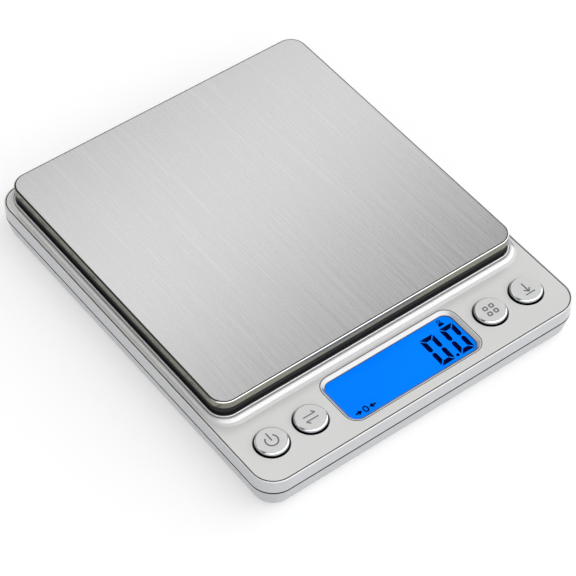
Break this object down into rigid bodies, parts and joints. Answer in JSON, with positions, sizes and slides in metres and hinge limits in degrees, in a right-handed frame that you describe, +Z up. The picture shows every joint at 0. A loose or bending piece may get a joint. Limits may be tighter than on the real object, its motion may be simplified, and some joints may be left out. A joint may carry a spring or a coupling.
{
  "type": "digital gram scale",
  "caption": "Flat desktop gram scale with a square brushed steel platform, a lit blue display, four round keys, rubber feet and a sliding battery door.",
  "frame": {"origin": "on the table, under the middle of the housing's footprint", "axes": "+X to the right, +Y to the rear away from the keys, +Z up"},
  "size_m": [0.106, 0.127, 0.019],
  "materials": {
    "silver_paint": "satin silver paint",
    "silver_paint_lower": "satin silver paint",
    "button_paint": "satin silver with a bright chamfer",
    "steel_plate": "brushed",
    "carrier_plastic": "matt",
    "switch_plastic": "matt",
    "white_plastic": "matt",
    "foam_tape": "matt",
    "foot_rubber": "matt",
    "beam_aluminium": "machined",
    "gauge_coating": "soft coating",
    "screw_steel": "plated",
    "contact_steel": "nickel plated",
    "lens_clear": "clear",
    "lcd_blue": "lit blue",
    "light_guide": "clear",
    "led_body": "gloss",
    "zebra_rubber": "soft",
    "pcb_green": "solder mask",
    "epoxy_black": "gloss",
    "cell_sleeve": "printed sleeve, plain",
    "wire_red": "insulated",
    "wire_black": "insulated",
    "wire_white": "insulated"
  },
  "bodies": {
    "base": {"lower_housing": "silver_paint_lower", "upper_housing": "silver_paint", "foot_front_left": "foot_rubber", "foot_front_right": "foot_rubber", "foot_rear_left": "foot_rubber", "foot_rear_right": "foot_rubber", "housing_screws": "screw_steel", "load_cell": "beam_aluminium", "strain_gauge_covers": "gauge_coating", "cell_base_screws": "screw_steel", "overload_stop_screw": "screw_steel", "display_window": "lens_clear", "lcd_glass": "lcd_blue", "lcd_frame": "white_plastic", "backlight_guide": "light_guide", "backlight_led": "led_body", "zebra_strip": "zebra_rubber", "tact_switches": "switch_plastic", "main_pcb": "pcb_green", "controller_blob": "epoxy_black", "pcb_screws": "screw_steel", "battery_cells": "cell_sleeve", "contact_spring_front": "contact_steel", "contact_spring_rear": "contact_steel", "contact_plate_front": "contact_steel", "contact_plate_rear": "contact_steel", "contact_bridge": "contact_steel", "battery_lead_front": "wire_red", "battery_lead_rear": "wire_black", "load_cell_wires": "wire_white"},
    "platform": {"platform_plate": "steel_plate", "pan_tape_pads": "foam_tape", "pan_support": "carrier_plastic", "cell_pan_screws": "screw_steel"},
    "door": {"battery_door": "silver_paint_lower"},
    "power_key": {"button_power": "button_paint", "plunger_power": "switch_plastic"},
    "mode_key": {"button_mode": "button_paint", "plunger_mode": "switch_plastic"},
    "count_key": {"button_count": "button_paint", "plunger_count": "switch_plastic"},
    "tare_key": {"button_tare": "button_paint", "plunger_tare": "switch_plastic"}
  },
  "joints": [
    {"name": "platform_sink", "type": "slide", "parent": "base", "child": "platform", "axis": [0, 0, -1], "range_m": [0, 0.0004], "stiffness_N_per_m": 40000, "deforming": ["load_cell"]},
    {"name": "battery_door_slide", "type": "slide", "parent": "base", "child": "door", "axis": [0, 1, 0], "range_m": [0, 0.03]},
    {"name": "power_key_press", "type": "slide", "parent": "base", "child": "power_key", "axis": [0, 0, -1], "range_m": [0, 0.0003], "stiffness_N_per_m": 1500},
    {"name": "mode_key_press", "type": "slide", "parent": "base", "child": "mode_key", "axis": [0, 0, -1], "range_m": [0, 0.0003], "stiffness_N_per_m": 1500},
    {"name": "count_key_press", "type": "slide", "parent": "base", "child": "count_key", "axis": [0, 0, -1], "range_m": [0, 0.0003], "stiffness_N_per_m": 1500},
    {"name": "tare_key_press", "type": "slide", "parent": "base", "child": "tare_key", "axis": [0, 0, -1], "range_m": [0, 0.0003], "stiffness_N_per_m": 1500}
  ]
}
